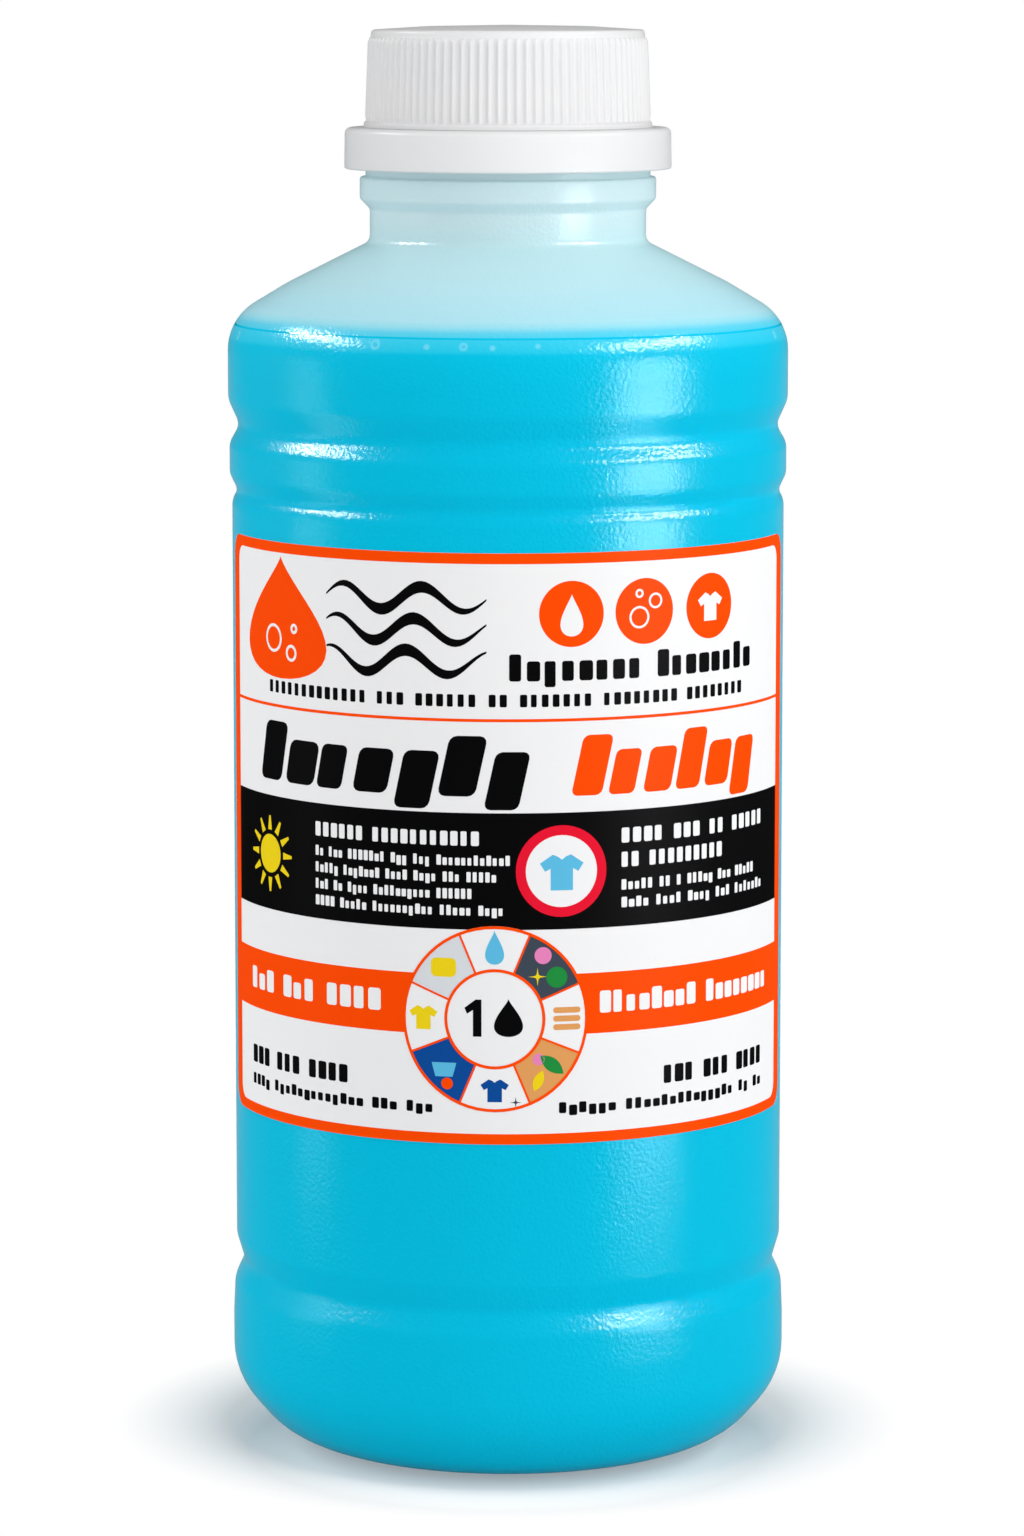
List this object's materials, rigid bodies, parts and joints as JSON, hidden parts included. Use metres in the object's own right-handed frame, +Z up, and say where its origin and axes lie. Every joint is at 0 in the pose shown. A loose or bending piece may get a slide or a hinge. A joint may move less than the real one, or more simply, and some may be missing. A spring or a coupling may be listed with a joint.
{
  "type": "laundry detergent bottle",
  "caption": "Round one-litre blown plastic bottle of blue laundry liquid with grooved body, wrapped label, and ribbed screw cap over a tamper band.",
  "frame": {"origin": "centre of the base, on the plane of the foot ring", "axes": "+Z up the bottle's axis, label faces -Y, +X to the right of the label as it is read"},
  "size_m": [0.0876, 0.0876, 0.2235],
  "materials": {
    "bottle": "translucent natural polyethylene, satin gloss with a fine orange-peel surface",
    "liquid": "clear blue liquid",
    "label": "white film, smooth and slightly glossy",
    "ink_orange": "printed orange ink",
    "ink_black": "printed black ink",
    "white_plastic": "moulded white polypropylene, satin gloss",
    "liner": "foamed polyethylene sheet"
  },
  "bodies": {
    "bottle": {"bottle": "bottle", "laundry_liquid": "liquid", "label": "label", "label_print_orange": "ink_orange", "label_print_black": "ink_black", "tamper_band": "white_plastic"},
    "liner": {"cap_liner": "liner"},
    "cap": {"screw_cap": "white_plastic"}
  },
  "joints": [
    {"name": "cap_rise", "type": "slide", "parent": "bottle", "child": "liner", "axis": [0, 0, 1], "range_m": [0, 0.0084]},
    {"name": "cap_turn", "type": "hinge", "parent": "liner", "child": "cap", "pos_m": [0, 0, 0.215], "axis": [0, 0, 1], "range_deg": [0, 720]}
  ],
  "couplings": [
    {"joint": "cap_rise", "follows": "cap_turn", "m_per_rad": 0.00066845}
  ]
}
